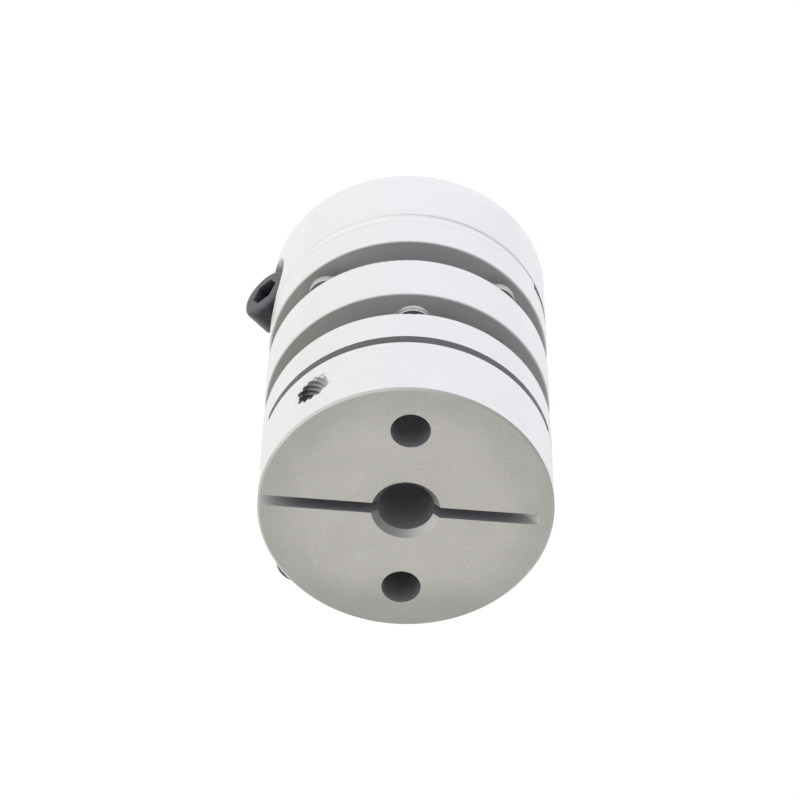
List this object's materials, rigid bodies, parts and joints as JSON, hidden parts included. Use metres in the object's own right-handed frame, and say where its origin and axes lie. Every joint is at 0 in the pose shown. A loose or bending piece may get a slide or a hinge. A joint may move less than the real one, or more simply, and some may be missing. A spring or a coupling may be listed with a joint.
{
  "type": "disc coupling",
  "caption": "Double disc shaft coupling: split clamp hubs with cap screws at both ends of a spacer ring, joined by thin square disc packs.",
  "frame": {"origin": "centre of the lower hub's end face, on the shaft axis", "axes": "+Z along the shaft axis towards the upper hub, +X along the upper hub's saw slot towards its open side"},
  "size_m": [0.0285, 0.026, 0.035],
  "materials": {
    "aluminium": "fine satin turned aluminium, nearly white",
    "black_steel": "black oxide, slightly oily",
    "leaf_steel": "rolled stainless spring sheet",
    "bright_steel": "bright stainless"
  },
  "bodies": {
    "root": {"centre_spacer": "aluminium", "lower_hub": "aluminium", "upper_hub": "aluminium", "lower_clamp_screw": "black_steel", "upper_clamp_screw": "black_steel", "lower_disc_leaf_1": "leaf_steel", "lower_disc_leaf_2": "leaf_steel", "lower_disc_leaf_3": "leaf_steel", "upper_disc_leaf_1": "leaf_steel", "upper_disc_leaf_2": "leaf_steel", "upper_disc_leaf_3": "leaf_steel", "lower_hub_screw_1": "bright_steel", "lower_hub_screw_2": "bright_steel", "lower_spacer_screw_1": "bright_steel", "lower_spacer_screw_2": "bright_steel", "upper_hub_screw_1": "bright_steel", "upper_hub_screw_2": "bright_steel", "upper_spacer_screw_1": "bright_steel", "upper_spacer_screw_2": "bright_steel", "lower_hub_washer_1": "bright_steel", "lower_hub_washer_2": "bright_steel", "lower_spacer_washer_1": "bright_steel", "lower_spacer_washer_2": "bright_steel", "upper_hub_washer_1": "bright_steel", "upper_hub_washer_2": "bright_steel", "upper_spacer_washer_1": "bright_steel", "upper_spacer_washer_2": "bright_steel", "lower_hub_collar_1": "bright_steel", "lower_hub_collar_2": "bright_steel", "lower_spacer_collar_1": "bright_steel", "lower_spacer_collar_2": "bright_steel", "upper_hub_collar_1": "bright_steel", "upper_hub_collar_2": "bright_steel", "upper_spacer_collar_1": "bright_steel", "upper_spacer_collar_2": "bright_steel"}
  },
  "joints": []
}
